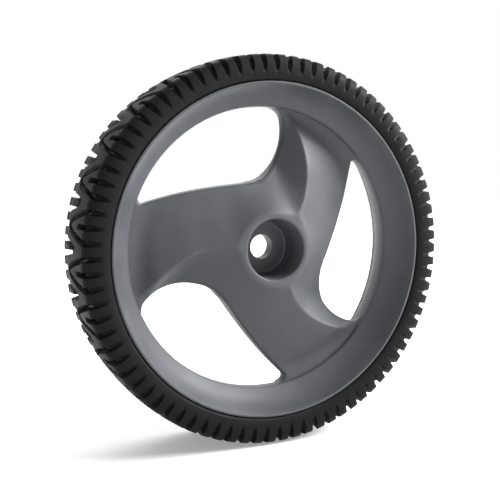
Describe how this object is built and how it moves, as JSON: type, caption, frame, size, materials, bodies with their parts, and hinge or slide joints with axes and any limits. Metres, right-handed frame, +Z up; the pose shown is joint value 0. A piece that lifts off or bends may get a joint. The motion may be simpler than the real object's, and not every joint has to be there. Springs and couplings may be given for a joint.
{
  "type": "wheel",
  "caption": "Spare mower wheel: grey one-piece moulded body with swept spokes, deep hub pocket and axle bore, carrying a black rubber tyre with shoulder lugs and arch grooves.",
  "frame": {"origin": "centre of the wheel, on the spin axis, halfway across the tyre", "axes": "+Y along the spin axis towards the machine, the pocketed front looks along -Y, +Z up"},
  "size_m": [0.3048, 0.068, 0.3048],
  "materials": {
    "body_plastic": "satin grey moulded plastic with a fine grain",
    "tyre_rubber": "matt black moulded rubber"
  },
  "bodies": {
    "root": {"wheel_body": "body_plastic", "tyre": "tyre_rubber"}
  },
  "joints": []
}
